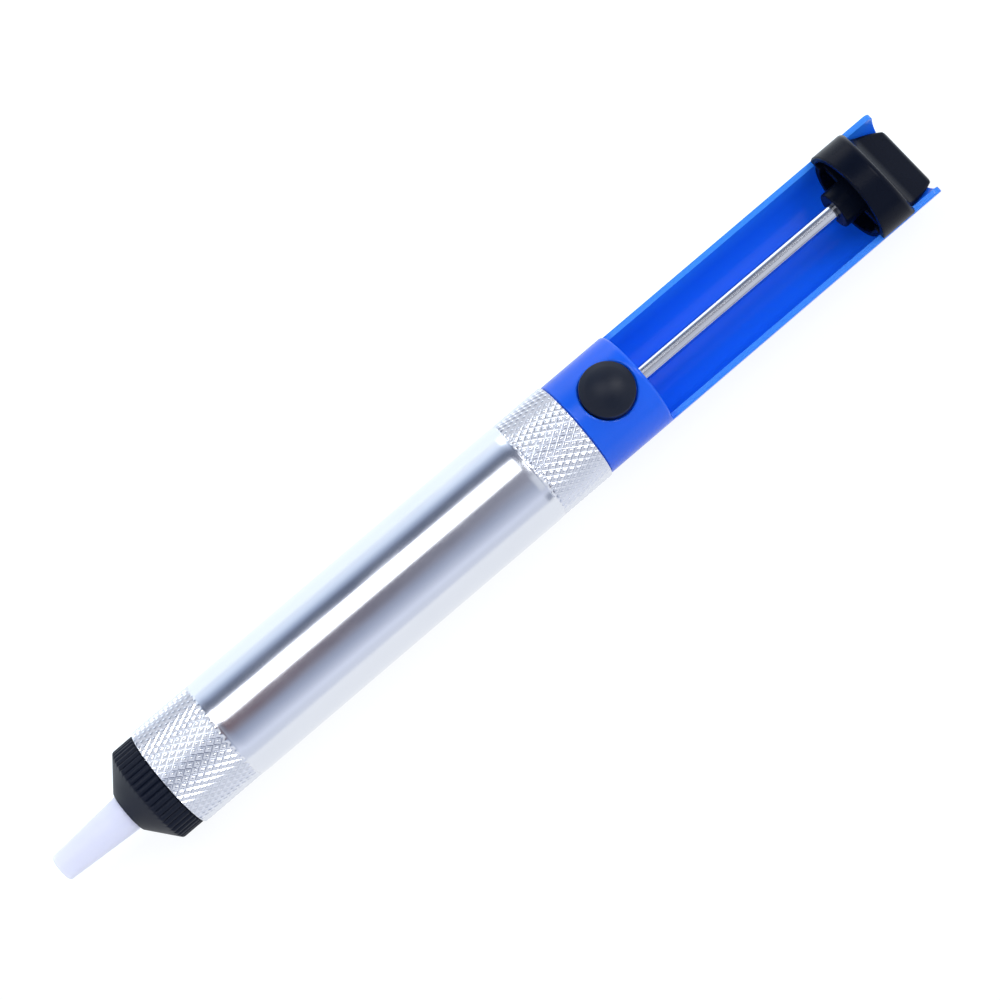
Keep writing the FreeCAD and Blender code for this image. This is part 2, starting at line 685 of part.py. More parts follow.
buffer = new_body("buffer_ring")
turn(buffer, "buffer_solid", [
    (D.housing_spigot - D.buffer_thick, D.buffer_in_rad),
    (D.housing_spigot - D.buffer_thick, D.buffer_rad - 0.2),
    (D.housing_spigot - D.buffer_thick + 0.2, D.buffer_rad),
    (D.housing_spigot, D.buffer_rad),
    (D.housing_spigot, D.buffer_in_rad),
])

# ---------------------------------------------------------------- button
button = new_body("button_cap", D.button_at)
turn(button, "button_solid", [
    (0, D.button_bottom),
    (D.button_boss_rad, D.button_bottom),
    (D.button_boss_rad, D.button_roof),
    (D.button_in_rad, D.button_roof),
    (D.button_in_rad, D.button_bottom),
    (D.button_rad, D.button_bottom),
    (D.button_rad, D.button_edge),
    (0, D.button_top, "arc", 0, None, True),
], axis="V_Axis")
sk = new_sketch(button, "tongue_socket", "XY_Plane", D.button_bottom)
ph, th = D.plate_thick / 2 + 0.02, D.tongue_half + 0.02
outline(sk, [(-ph, -th), (ph, -th), (ph, th), (-ph, th)])
cut_along(button, "socket", sk, D.tongue_top - D.button_bottom + 0.1, reverse=True)

plate = new_body("latch_plate", D.button_at)
sk = new_sketch(plate, "plate_outline", "YZ_Plane", ZERO - D.plate_thick / 2)
outline(sk, [
    (-D.plate_half, -D.plate_low), (D.plate_half, -D.plate_low),
    (D.plate_half, D.plate_shoulder), (D.tongue_half, D.plate_shoulder),
    (D.tongue_half, D.tongue_top), (-D.tongue_half, D.tongue_top),
    (-D.tongue_half, D.plate_shoulder), (-D.plate_half, D.plate_shoulder),
])
extrude(plate, "plate_pad", sk, D.plate_thick)
sk = new_sketch(plate, "rod_opening", "YZ_Plane", ZERO - D.plate_thick / 2)
hr = D.plate_hole_rad
outline(sk, [
    (-hr, D.plate_hole_high), (-hr, D.plate_hole_low),
    (hr, D.plate_hole_low), (hr, D.plate_hole_high),
])
cut_along(plate, "opening_middle", sk, D.plate_thick, reverse=True)
for end, level in (("low", D.plate_hole_low), ("high", D.plate_hole_high)):
    sk = new_sketch(plate, "opening_" + end, "YZ_Plane", ZERO - D.plate_thick / 2)
    circle(sk, 0, level, hr)
    cut_along(plate, "opening_end_" + end, sk, D.plate_thick, reverse=True)


# ---------------------------------------------------------------- springs
def coil(label, start, end, rad, wire, turns, along, rotation):
    """A helical compression spring between two faces, with half a wire at each."""
    span = end - start - wire * 2
    helix = doc.addObject("Part::Helix", "Helix_" + label)
    helix.LocalCoord = 0
    helix.setExpression("Radius", rad.e)
    helix.setExpression("Height", span.e)
    helix.setExpression("Pitch", (span / turns).e)
    helix.SegmentLength = 1.0
    section = doc.addObject("Part::Circle", "Wire_" + label)
    section.setExpression("Radius", wire.e)
    section.Placement = FreeCAD.Placement(V(0, 0, 0), FreeCAD.Rotation(V(1, 0, 0), 90))
    section.setExpression("Placement.Base.x", rad.e)
    doc.recompute()
    sweep = doc.addObject("Part::Sweep", "Coil_" + label)
    sweep.Sections = [section]
    sweep.Spine = (helix, [])
    sweep.Solid = True
    sweep.Frenet = True
    sweep.Placement = FreeCAD.Placement(V(0, 0, 0), rotation)
    place(sweep, label, along)
    return sweep


main = coil("main_spring", D.spigot_end + D.seat_thick, D.piston_front - D.washer_thick,
            D.spring_rad, D.spring_wire, D.spring_turns,
            D.spigot_end + D.seat_thick + D.spring_wire, FreeCAD.Rotation(V(0, 1, 0), 90))
small = coil("button_spring", D.pocket_floor, D.button_roof,
             D.bspring_rad, D.bspring_wire, D.bspring_turns, D.button_at, FreeCAD.Rotation())
small.setExpression("Placement.Base.z", (D.barrel_rad + D.pocket_floor + D.bspring_wire).e)

# ---------------------------------------------------------------- output
doc.recompute()
for o in doc.Objects:
    bad = [w for w in o.State if w in ("Invalid", "Error")]
    if bad:
        raise RuntimeError("%s is %s" % (o.Label, bad))
os.makedirs("parts", exist_ok=True)
for old in os.listdir("parts"):
    if old.endswith(".step"):
        os.remove(os.path.join("parts", old))
for o in parts:
    s = o.Shape
    if s.isNull() or not s.isValid() or not s.Solids:
        raise RuntimeError("%s has no valid solid" % o.Label)
    b = s.BoundBox
    print("%-20s solids %d faces %4d volume %9.2f  x %.2f..%.2f  y %.2f..%.2f  z %.2f..%.2f" % (
        o.Label, len(s.Solids), len(s.Faces), s.Volume,
        b.XMin, b.XMax, b.YMin, b.YMax, b.ZMin, b.ZMax))
for o in parts:
    o.Shape.exportStep("parts/%s.step" % o.Label)
print("%d sub-parts written" % len(parts))
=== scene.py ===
import math

import bpy
import numpy as np
from mathutils import Matrix, Vector


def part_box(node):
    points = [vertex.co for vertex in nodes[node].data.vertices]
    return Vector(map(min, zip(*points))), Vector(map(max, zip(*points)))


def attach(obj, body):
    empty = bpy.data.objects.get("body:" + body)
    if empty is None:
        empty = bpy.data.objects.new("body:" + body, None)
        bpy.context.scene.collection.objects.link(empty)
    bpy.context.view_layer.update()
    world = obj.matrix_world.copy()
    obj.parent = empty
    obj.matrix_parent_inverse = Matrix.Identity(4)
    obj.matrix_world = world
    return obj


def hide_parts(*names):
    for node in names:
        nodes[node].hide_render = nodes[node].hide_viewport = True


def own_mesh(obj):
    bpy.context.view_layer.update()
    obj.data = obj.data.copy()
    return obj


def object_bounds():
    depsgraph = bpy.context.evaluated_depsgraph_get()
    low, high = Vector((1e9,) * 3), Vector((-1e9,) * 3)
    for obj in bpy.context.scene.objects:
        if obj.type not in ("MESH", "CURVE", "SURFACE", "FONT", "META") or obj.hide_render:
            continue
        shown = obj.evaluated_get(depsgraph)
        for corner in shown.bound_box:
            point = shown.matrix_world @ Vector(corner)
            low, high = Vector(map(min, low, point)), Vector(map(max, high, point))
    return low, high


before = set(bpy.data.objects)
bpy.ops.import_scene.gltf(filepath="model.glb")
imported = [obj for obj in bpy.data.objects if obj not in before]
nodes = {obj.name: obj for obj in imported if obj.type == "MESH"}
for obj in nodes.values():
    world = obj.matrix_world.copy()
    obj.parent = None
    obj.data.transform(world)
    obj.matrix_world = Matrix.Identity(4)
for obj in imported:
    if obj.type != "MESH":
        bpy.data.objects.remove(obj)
CAD_LOW, CAD_HIGH = [list(map(float, c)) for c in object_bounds()]

# The tool's own axis frame, in millimetres: u from the nozzle's tip along the
# axis, y across, k above the axis.
LEN = (CAD_HIGH[0] - CAD_LOW[0]) * 1000.0
BARREL_LOW, BARREL_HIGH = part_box("barrel")
AXIS = (BARREL_LOW.z + BARREL_HIGH.z) * 500.0


def frame_point(u, y, k):
    return Vector(((u - LEN / 2) / 1000.0, y / 1000.0, (k + AXIS) / 1000.0))


def u_of(x):
    return x * 1000.0 + LEN / 2


BARREL0, BARREL1 = u_of(BARREL_LOW.x), u_of(BARREL_HIGH.x)
CAP0 = u_of(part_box("nose_cap")[0].x)
SPIGOT1 = u_of(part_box("nose_cap")[1].x)
HOUSING0, HOUSING1 = u_of(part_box("rear_housing")[0].x), u_of(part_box("rear_housing")[1].x)
KNOB1 = u_of(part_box("knob")[1].x)
BOSS0 = u_of(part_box("knob")[0].x)
ROD0, ROD1 = u_of(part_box("plunger_rod")[0].x), u_of(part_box("plunger_rod")[1].x)
BUTTON = (u_of(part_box("button_cap")[0].x) + u_of(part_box("button_cap")[1].x)) / 2
BUTTON_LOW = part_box("button_cap")[0].z * 1000 - AXIS
BUTTON_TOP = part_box("button_cap")[1].z * 1000 - AXIS


# ------------------------------------------------------------------ meshes
def new_mesh(name, verts, faces, mat, body, stands_for, normals=None, sharp=None):
    """An object in the row frame from points in the axis frame."""
    co = np.asarray(verts, float)
    co = np.column_stack(((co[:, 0] - LEN / 2), co[:, 1], co[:, 2] + AXIS)) / 1000.0
    me = bpy.data.meshes.new(name)
    me.from_pydata(co.tolist(), [], [list(map(int, f)) for f in faces])
    me.validate()
    me.update()
    me.polygons.foreach_set("use_smooth", [True] * len(me.polygons))
    if sharp is not None:
        me.set_sharp_from_angle(angle=math.radians(sharp))
    elif normals is not None and len(normals) == len(me.vertices):
        me.normals_split_custom_set_from_vertices(np.asarray(normals, float).tolist())
    me.update()
    ob = bpy.data.objects.new(name, me)
    bpy.context.scene.collection.objects.link(ob)
    ob.data.materials.append(mat)
    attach(ob, body)
    if stands_for:
        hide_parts(*stands_for)
    return ob


def area_normals(verts, faces):
    """Vertex normals weighted by face area, so that large faces stay flat."""
    v = np.asarray(verts, float)
    n = np.zeros_like(v)
    for size in (3, 4):
        f = np.array([x for x in faces if len(x) == size], int)
        if len(f) == 0:
            continue
        if size == 3:
            fn = np.cross(v[f[:, 1]] - v[f[:, 0]], v[f[:, 2]] - v[f[:, 0]])
        else:
            fn = np.cross(v[f[:, 2]] - v[f[:, 0]], v[f[:, 3]] - v[f[:, 1]])
        for c in range(size):
            np.add.at(n, f[:, c], fn)
    length = np.linalg.norm(n, axis=1, keepdims=True)
    return n / np.maximum(length, 1e-12)


def rounded(points, seg=5):
    """A closed outline from (x, y, radius) corners, each corner rounded."""
    pts = [(float(p[0]), float(p[1]), float(p[2]) if len(p) > 2 else 0.0) for p in points]
    out, n = [], len(pts)
    for i in range(n):
        p = np.array(pts[i][:2])
        a = np.array(pts[i - 1][:2]) - p
        b = np.array(pts[(i + 1) % n][:2]) - p
        la, lb, rad = np.linalg.norm(a), np.linalg.norm(b), pts[i][2]
        if rad <= 0 or la < 1e-9 or lb < 1e-9:
            out.append(tuple(p))
            continue
        a, b = a / la, b / lb
        half = math.acos(max(-1, min(1, float(a @ b)))) / 2
        if half > math.radians(89.5):
            out.append(tuple(p))
            continue
        d = min(rad / math.tan(half), 0.49 * la, 0.49 * lb)
        rad = d * math.tan(half)
        c = p + (a + b) / np.linalg.norm(a + b) * (rad / math.sin(half))
        s, e = p + a * d - c, p + b * d - c
        t0, t1 = math.atan2(s[1], s[0]), math.atan2(e[1], e[0])
        dt = (t1 - t0 + math.pi) % (2 * math.pi) - math.pi
        for k in range(seg + 1):
            t = t0 + dt * k / seg
            out.append((c[0] + rad * math.cos(t), c[1] + rad * math.sin(t)))
    return out


def lathe(outline, n, shape=None):
    """A closed outline of (u, r) turned about the axis. shape(u, r, angle) may
    change the radius of a point. Returns points and faces."""
    m = len(outline)
    th = np.arange(n) * 2 * math.pi / n
    verts = []
    for u, r in outline:
        rr = np.full(n, float(r))
        if shape is not None:
            rr = shape(u, rr, th)
        verts.append(np.column_stack((np.full(n, u), rr * np.sin(th), rr * np.cos(th))))
    verts = np.concatenate(verts)
    faces = []
    for i in range(m):
        j = (i + 1) % m
        for k in range(n):
            q = (k + 1) % n
            faces.append((i * n + k, i * n + q, j * n + q, j * n + k))
    return verts, faces


def pole_lathe(outline, n):
    """An outline of (u, r) that starts and ends on the axis, turned about it."""
    th = np.arange(n) * 2 * math.pi / n
    verts = [[outline[0][0], 0, 0]]
    for u, r in outline[1:-1]:
        for t in th:
            verts.append([u, r * math.sin(t), r * math.cos(t)])
    verts.append([outline[-1][0], 0, 0])
    m, last = len(outline) - 2, len(verts) - 1
    faces = []
    for k in range(n):
        q = (k + 1) % n
        faces.append((0, 1 + q, 1 + k))
        for i in range(m - 1):
            a, b = 1 + i * n, 1 + (i + 1) * n
            faces.append((a + k, a + q, b + q, b + k))
        faces.append((1 + (m - 1) * n + k, 1 + (m - 1) * n + q, last))
    return np.array(verts), faces


def facing_out(verts, faces):
    """Faces turned so that the closed mesh has a positive volume."""
    v = np.asarray(verts)
    vol = 0.0
    for f in faces:
        for i in range(1, len(f) - 1):
            a, b, c = v[f[0]], v[f[i]], v[f[i + 1]]
            vol += a[0] * (b[1] * c[2] - b[2] * c[1]) + a[1] * (b[2] * c[0] - b[0] * c[2]) + a[2] * (b[0] * c[1] - b[1] * c[0])
    return faces if vol > 0 else [tuple(reversed(f)) for f in faces]


def both(a, b, r):
    """Inside both, with the edge rounded to r."""
    return np.minimum(-r, np.maximum(a, b)) + np.hypot(np.maximum(r + a, 0), np.maximum(r + b, 0))


def either(a, b, r):
    """Inside either, with the corner filled to r."""
    return np.maximum(r, np.minimum(a, b)) - np.hypot(np.maximum(r - a, 0), np.maximum(r - b, 0))


def step(x, a, b):
    t = np.clip((x - a) / (b - a), 0, 1)
    return t * t * (3 - 2 * t)


def skin(field, xs, ys, zs):
    """The zero surface of a distance field on a grid of any spacing: one point
    in each cell it crosses, moved on to the surface, and a quad across each
    grid edge it crosses. Returns points, quads and outward normals."""
    xs, ys, zs = (np.asarray(a, float) for a in (xs, ys, zs))
    F = field(xs[:, None, None], ys[None, :, None], zs[None, None, :])
    F = np.broadcast_to(F, (len(xs), len(ys), len(zs)))
    S = F < 0
    c = [S[i:len(xs) - 1 + i, j:len(ys) - 1 + j, k:len(zs) - 1 + k]
         for i in (0, 1) for j in (0, 1) for k in (0, 1)]
    total = sum(x.astype(np.int8) for x in c)
    active = (total > 0) & (total < 8)
    cells = np.argwhere(active)
    index = -np.ones(active.shape, np.int64)
    index[tuple(cells.T)] = np.arange(len(cells))
    acc, cnt = np.zeros((len(cells), 3)), np.zeros(len(cells))
    grid = (xs, ys, zs)
    corner = [(i, j, k) for i in (0, 1) for j in (0, 1) for k in (0, 1)]
    for a in range(8):
        for b in range(a + 1, 8):
            if sum(abs(corner[a][d] - corner[b][d]) for d in range(3)) != 1:
                continue
            ia, ib = cells + corner[a], cells + corner[b]
            fa, fb = F[tuple(ia.T)], F[tuple(ib.T)]
            hit = (fa < 0) != (fb < 0)
            t = np.where(hit, fa / np.where(hit, fa - fb, 1), 0)
            pa = np.column_stack([grid[d][ia[:, d]] for d in range(3)])
            pb = np.column_stack([grid[d][ib[:, d]] for d in range(3)])
            acc[hit] += (pa + (pb - pa) * t[:, None])[hit]
            cnt[hit] += 1
    P = acc / cnt[:, None]
    low = np.column_stack([grid[d][cells[:, d]] for d in range(3)])
    high = np.column_stack([grid[d][cells[:, d] + 1] for d in range(3)])
    pad = (high - low) * 0.45

    def slope(p):
        e = 0.01
        g = [field(*(p + e * np.eye(3)[d]).T) - field(*(p - e * np.eye(3)[d]).T) for d in range(3)]
        return np.column_stack(g) / (2 * e)

    for _ in range(6):
        g = slope(P)
        f = field(*P.T)
        P = P - g * (f / np.maximum((g * g).sum(1), 1e-6))[:, None] * 0.9
        P = np.clip(P, low - pad, high + pad)
    g = slope(P)
    N = g / np.maximum(np.linalg.norm(g, axis=1, keepdims=True), 1e-9)
    quads = []
    for d in range(3):
        e, h = (d + 1) % 3, (d + 2) % 3
        A = [slice(None)] * 3
        B = [slice(None)] * 3
        A[d], B[d] = slice(0, -1), slice(1, None)
        for ax in (e, h):
            A[ax] = B[ax] = slice(1, -1)
        sa, sb = S[tuple(A)], S[tuple(B)]
        cross = np.argwhere(sa != sb)
        inside = sa[tuple(cross.T)]
        base = cross.copy()
        base[:, e] += 1
        base[:, h] += 1
        q = []
        for de, dh in ((-1, -1), (0, -1), (0, 0), (-1, 0)):
            k = base.copy()
            k[:, e] += de
            k[:, h] += dh
            q.append(index[tuple(k.T)])
        q = np.column_stack(q)
        q[~inside] = q[~inside][:, ::-1]
        quads.append(q)
    return P, np.concatenate(quads), N


def grid_line(*stops):
    """Grid positions: pairs of (position, spacing up to the next position)."""
    out = []
    for (a, da), (b, _) in zip(stops[:-1], stops[1:]):
        n = max(1, round((b - a) / da))
        out += list(np.linspace(a, b, n, endpoint=False))
    return out + [stops[-1][0]]


# ------------------------------------------------------------------ materials
def material(name):
    m = bpy.data.materials.new(name)
    m.use_nodes = True
    t = m.node_tree
    return m, t, t.nodes["Principled BSDF"]


def node(t, kind, **values):
    n = t.nodes.new(kind)
    for key, v in values.items():
        if key in ("operation", "blend_type", "data_type", "noise_dimensions", "wave_type",
                   "bands_direction", "wave_profile", "feature", "distance", "interpolation_type",
                   "noise_type", "clamp", "use_clamp", "vector_type"):
            setattr(n, key, v)
        else:
            n.inputs[key].default_value = v
    return n


def link(t, a, out, b, to):
    t.links.new(a.outputs[out], b.inputs[to])


def coords(t, scale):
    c = t.nodes.new("ShaderNodeTexCoord")
    m = node(t, "ShaderNodeMapping", Scale=scale)
    link(t, c, "Object", m, "Vector")
    return m


def noise(t, scale_vec, scale, detail=4.0, rough=0.55):
    m = coords(t, scale_vec)
    n = node(t, "ShaderNodeTexNoise", Scale=scale, Detail=detail, Roughness=rough)
    link(t, m, "Vector", n, "Vector")
    return n


def ranged(t, src, out, low, high, a=0.0, b=1.0):
    r = t.nodes.new("ShaderNodeMapRange")
    r.inputs["From Min"].default_value = a
    r.inputs["From Max"].default_value = b
    r.inputs["To Min"].default_value = low
    r.inputs["To Max"].default_value = high
    link(t, src, out, r, "Value")
    return r


def mixed(t, fac_node, fac_out, c1, c2):
    m = t.nodes.new("ShaderNodeMix")
    m.data_type = "RGBA"
    m.inputs["A"].default_value = (*c1, 1)
    m.inputs["B"].default_value = (*c2, 1)
    m.inputs[6].default_value = (*c1, 1)
    m.inputs[7].default_value = (*c2, 1)
    t.links.new(fac_node.outputs[fac_out], m.inputs[0])
    return m


def bump(t, bsdf, parts):
    """parts: (node, output, strength, distance in metres), chained."""
    last = None
    for n, out, strength, dist in parts:
        b = node(t, "ShaderNodeBump", Strength=strength, Distance=dist)
        link(t, n, out, b, "Height")
        if last is not None:
            link(t, last, "Normal", b, "Normal")
        last = b
    link(t, last, "Normal", bsdf, "Normal")


def srgb(r, g, b):
    f = lambda c: c / 12.92 if c <= 0.04045 else ((c + 0.055) / 1.055) ** 2.4
    return tuple(f(x / 255.0) for x in (r, g, b))


def aluminium():
    m, t, b = material("barrel_aluminium")
    b.inputs["Metallic"].default_value = 1.0
    cloud = noise(t, (60, 60, 60), 1.0, 3.0)
    tint = mixed(t, cloud, "Fac", (0.69, 0.715, 0.775), (0.75, 0.77, 0.82))
    t.links.new(tint.outputs[2], b.inputs["Base Color"])
    turned = noise(t, (9000, 60, 60), 1.0, 3.0, 0.7)
    smudge = noise(t, (120, 400, 400), 1.0, 4.0)
    rough = ranged(t, smudge, "Fac", 0.14, 0.20, 0.3, 0.7)
    link(t, rough, "Result", b, "Roughness")
    bump(t, b, [(turned, "Fac", 0.10, 0.00003)])
    return m


def knurled():
    m, t, b = material("knurled_aluminium")
    b.inputs["Metallic"].default_value = 1.0
    cloud = noise(t, (900, 900, 900), 1.0, 3.0)
    tint = mixed(t, cloud, "Fac", (0.64, 0.665, 0.725), (0.80, 0.815, 0.86))
    t.links.new(tint.outputs[2], b.inputs["Base Color"])
    grit = noise(t, (4000, 4000, 4000), 1.0, 3.0, 0.7)
    rough = ranged(t, grit, "Fac", 0.10, 0.22, 0.3, 0.7)
    link(t, rough, "Result", b, "Roughness")
    bump(t, b, [(grit, "Fac", 0.10, 0.00004)])
    return m


def steel_rod():
    m, t, b = material("rod_steel")
    b.inputs["Metallic"].default_value = 1.0
    streak = noise(t, (12, 2600, 2600), 1.0, 2.0, 0.5)
    tint = mixed(t, streak, "Fac", (0.58, 0.60, 0.65), (0.72, 0.74, 0.79))
    t.links.new(tint.outputs[2], b.inputs["Base Color"])
    rough = ranged(t, streak, "Fac", 0.12, 0.17, 0.3, 0.7)
    link(t, rough, "Result", b, "Roughness")
    bump(t, b, [(streak, "Fac", 0.04, 0.00002)])
    return m


def plain_steel(name, c1, c2, r1, r2, scale=1500):
    m, t, b = material(name)
    b.inputs["Metallic"].default_value = 1.0
    n = noise(t, (scale, scale, scale), 1.0, 4.0, 0.6)
    tint = mixed(t, n, "Fac", c1, c2)
    t.links.new(tint.outputs[2], b.inputs["Base Color"])
    rough = ranged(t, n, "Fac", r1, r2, 0.3, 0.7)
    link(t, rough, "Result", b, "Roughness")
    bump(t, b, [(n, "Fac", 0.1, 0.00004)])
    return m


def blue_plastic():
    m, t, b = material("housing_blue")
    flow = noise(t, (18, 70, 70), 1.0, 3.0, 0.5)
    tint = mixed(t, flow, "Fac", srgb(22, 99, 240), srgb(30, 108, 248))
    # painted glow: the base colour turns a lighter cyan towards the tops of the guard's two rims behind the collar,
    # more strongly and over a wider band on the +Y side, standing in for light that leaks through the thin edge
    place = t.nodes.new("ShaderNodeTexCoord")
    axes = t.nodes.new("ShaderNodeSeparateXYZ")
    link(t, place, "Object", axes, "Vector")
    rim_glow_minus_y = ranged(t, axes, "Z", 0.0, 0.75, 0.0084, 0.0100)
    rim_glow_plus_y = ranged(t, axes, "Z", 0.0, 0.95, 0.0058, 0.0100)
    side = ranged(t, axes, "Y", 0.0, 1.0, -0.003, 0.003)
    behind = ranged(t, axes, "X", 0.0, 1.0, 0.0325, 0.0350)
    rim = t.nodes.new("ShaderNodeMix")
    link(t, side, "Result", rim, "Factor")
    link(t, rim_glow_minus_y, "Result", rim, "A")
    link(t, rim_glow_plus_y, "Result", rim, "B")
    painted_rim_glow = node(t, "ShaderNodeMath", operation="MULTIPLY")
    t.links.new(rim.outputs[0], painted_rim_glow.inputs[0])
    t.links.new(behind.outputs["Result"], painted_rim_glow.inputs[1])
    edge = t.nodes.new("ShaderNodeMix")
    edge.data_type = "RGBA"
    t.links.new(painted_rim_glow.outputs[0], edge.inputs[0])
    t.links.new(tint.outputs[2], edge.inputs[6])
    # the lighter cyan of the painted rim glow
    edge.inputs[7].default_value = (0.05, 0.33, 1.0, 1)
    t.links.new(edge.outputs[2], b.inputs["Base Color"])
    fine = noise(t, (2500, 3500, 3500), 1.0, 3.0, 0.5)
    rough = ranged(t, fine, "Fac", 0.17, 0.22, 0.3, 0.7)
    link(t, rough, "Result", b, "Roughness")
    b.inputs["Specular IOR Level"].default_value = 0.4
    wave = noise(t, (40, 90, 90), 1.0, 2.0, 0.5)
    bump(t, b, [(wave, "Fac", 0.05, 0.0002), (fine, "Fac", 0.02, 0.00002)])
    through = t.nodes.new("ShaderNodeBsdfTranslucent")
    glow = mixed(t, flow, "Fac", (0.04, 0.42, 1.0), (0.06, 0.52, 1.0))
    t.links.new(glow.outputs[2], through.inputs["Color"])
    mix = t.nodes.new("ShaderNodeMixShader")
    mix.inputs[0].default_value = 0.28
    out = t.nodes["Material Output"]
    t.links.new(b.outputs[0], mix.inputs[1])
    t.links.new(through.outputs[0], mix.inputs[2])
    t.links.new(mix.outputs[0], out.inputs["Surface"])
    return m


def black_plastic(name, c1, c2, r1, r2, grain, strength, gloss):
    m, t, b = material(name)
    b.inputs["Specular IOR Level"].default_value = gloss
    n = noise(t, (140, 140, 140), 1.0, 3.0, 0.5)
    tint = mixed(t, n, "Fac", c1, c2)
    t.links.new(tint.outputs[2], b.inputs["Base Color"])
    g = noise(t, (grain, grain, grain), 1.0, 4.0, 0.6)
    rough = ranged(t, n, "Fac", r1, r2, 0.3, 0.7)
    link(t, rough, "Result", b, "Roughness")
    bump(t, b, [(g, "Fac", strength, 0.00005)])
    return m


def ptfe():
    m, t, b = material("nozzle_ptfe")
    n = noise(t, (160, 300, 300), 1.0, 4.0, 0.5)
    tint = mixed(t, n, "Fac", (0.69, 0.71, 0.885), (0.74, 0.76, 0.925))
    t.links.new(tint.outputs[2], b.inputs["Base Color"])
    b.inputs["Subsurface Weight"].default_value = 0.6
    b.inputs["Subsurface Radius"].default_value = (1.0, 1.0, 1.1)
    b.inputs["Subsurface Scale"].default_value = 0.0025
    g = noise(t, (3000, 1200, 1200), 1.0, 4.0, 0.6)
    rough = ranged(t, g, "Fac", 0.36, 0.5, 0.3, 0.7)
    link(t, rough, "Result", b, "Roughness")
    bump(t, b, [(g, "Fac", 0.06, 0.00003)])
    return m


def plain(name, c1, c2, r1, r2, scale, strength, metallic=0.0):
    m, t, b = material(name)
    b.inputs["Metallic"].default_value = metallic
    n = noise(t, (scale, scale, scale), 1.0, 4.0, 0.6)
    tint = mixed(t, n, "Fac", c1, c2)
    t.links.new(tint.outputs[2], b.inputs["Base Color"])
    rough = ranged(t, n, "Fac", r1, r2, 0.3, 0.7)
    link(t, rough, "Result", b, "Roughness")
    bump(t, b, [(n, "Fac", strength, 0.00004)])
    return m


M_BARREL = aluminium()
M_KNURL = knurled()
M_ROD = steel_rod()
M_PLATE = plain_steel("zinc_plate", (0.50, 0.515, 0.54), (0.68, 0.69, 0.70), 0.28, 0.42)
M_WIRE = plain_steel("spring_wire", (0.42, 0.43, 0.45), (0.60, 0.61, 0.63), 0.22, 0.34)
M_BLUE = blue_plastic()
M_CAP = black_plastic("cap_black", (0.003, 0.006, 0.015), (0.006, 0.009, 0.020), 0.42, 0.52, 5000, 0.12, 0.15)
M_KNOB = black_plastic("knob_black", (0.002, 0.004, 0.011), (0.004, 0.006, 0.014), 0.24, 0.32, 3500, 0.10, 0.06)
M_BUTTON = black_plastic("button_black", (0.003, 0.006, 0.015), (0.006, 0.010, 0.023), 0.38, 0.46, 4500, 0.12, 0.22)
M_PTFE = ptfe()
M_POM = plain("piston_acetal", (0.72, 0.71, 0.66), (0.80, 0.79, 0.74), 0.35, 0.5, 900, 0.06)
M_RUBBER = plain("seal_rubber", (0.012, 0.012, 0.013), (0.022, 0.022, 0.023), 0.5, 0.66, 2500, 0.2)
M_BRASS = plain("bush_brass", (0.70, 0.50, 0.20), (0.80, 0.60, 0.28), 0.24, 0.36, 1200, 0.08, 1.0)


# ------------------------------------------------------------------ camera
D = Vector((-math.tan(math.radians(3.9)), -math.tan(math.radians(11.3)), 1.0)).normalized()
AIM = frame_point(97.7, -0.62, 0.0)
ROLL = math.radians(40.42)
along = (Vector((1, 0, 0)) - D * D.x).normalized()
across = D.cross(along).normalized()
right = along * math.cos(ROLL) - across * math.sin(ROLL)
up = along * math.sin(ROLL) + across * math.cos(ROLL)
cam = bpy.data.cameras.new("camera")
cam.sensor_width = 36.0
cam.lens = 80.3
cam.clip_start, cam.clip_end = 0.01, 20.0
eye = AIM + D * 0.386
camera = bpy.data.objects.new("camera", cam)
camera.matrix_world = Matrix((
    (right.x, up.x, D.x, eye.x), (right.y, up.y, D.y, eye.y), (right.z, up.z, D.z, eye.z), (0, 0, 0, 1)))
bpy.context.scene.collection.objects.link(camera)
bpy.context.scene.camera = camera
bpy.context.scene.view_settings.view_transform = "Standard"
bpy.context.scene.view_settings.look = "None"

# ------------------------------------------------------------------ barrel
STARTS, PER, PITCH, DEPTH = 46, 10, 2.05, 0.30
N_BAR = STARTS * PER
K_RAD, S_RAD, BORE = 9.9, 10.0, 8.5


def knurl_depth(u, th, u0):
    """Diamonds with rounded tops between two families of V grooves."""
    a = th * STARTS / (2 * math.pi)
    b = (u - u0) / PITCH
    g = 0.0
    for w in (a + b, a - b):
        d = np.abs(w - np.round(w))
        g = np.maximum(g, (1 - np.clip(d / 0.44, 0, 1)) ** 1.4)
    return g * DEPTH


rows = []          # (u, radius function, knurl row number or None)
ring_u, ring_r, knurl_row = [], [], []
TH = np.arange(N_BAR) * 2 * math.pi / N_BAR


def ring(u, r, krow=None):
    ring_u.append(u)
    ring_r.append(np.full(N_BAR, float(r)) if np.isscalar(r) else r)
    knurl_row.append(krow)


dk = PITCH / PER
ring(BARREL0 + 0.25, BORE)
ring(BARREL0, BORE + 0.25)
ring(BARREL0, 9.35)
ring(BARREL0 + 0.06, 9.48)
F_END, R_START = 36.6, 104.4
n_front = int((F_END - 0.12 - (BARREL0 + 0.205)) / dk)
for j in range(n_front + 1):
    u = BARREL0 + 0.205 + j * dk
    run_out = 1 - step(u, F_END - 0.75, F_END - 0.15)
    r = np.minimum(K_RAD - knurl_depth(u, TH, BARREL0 + 0.205) * run_out, 9.55 + (u - BARREL0) * 1.0)
    ring(u, r, j)
